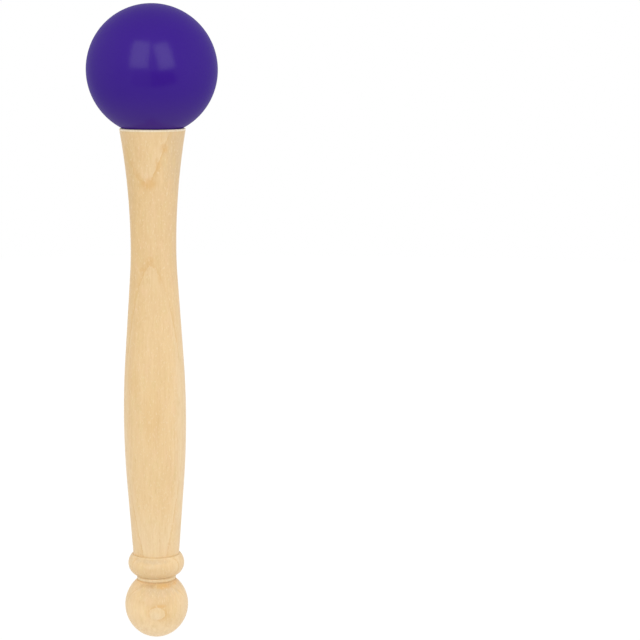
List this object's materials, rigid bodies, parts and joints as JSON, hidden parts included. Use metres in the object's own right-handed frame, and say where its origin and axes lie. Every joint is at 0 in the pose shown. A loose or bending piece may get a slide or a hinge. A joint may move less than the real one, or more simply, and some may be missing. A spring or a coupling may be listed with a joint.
{
  "type": "singing bowl mallet",
  "caption": "Mallet to rub or strike a singing bowl: a rubber ball glued on the tenon of a turned wooden handle with a flared rim, swelling grip, bead, groove and ball pommel.",
  "frame": {"origin": "centre of the grip's widest section, on the axis of the handle, where the hand holds it (mount hand_grip)", "axes": "+Z along the handle towards the ball; X and Y are across it and alike, because every piece is round; the picture looks along +Y"},
  "size_m": [0.048, 0.048, 0.2368],
  "materials": {
    "ball_rubber": "smooth moulded, satin",
    "handle_wood": "pale hardwood, turned and sanded, thin satin lacquer",
    "cured_glue": "cured, translucent, hidden inside the ball"
  },
  "bodies": {
    "root": {"head_ball": "ball_rubber", "handle": "handle_wood", "glue_film": "cured_glue"}
  },
  "joints": []
}
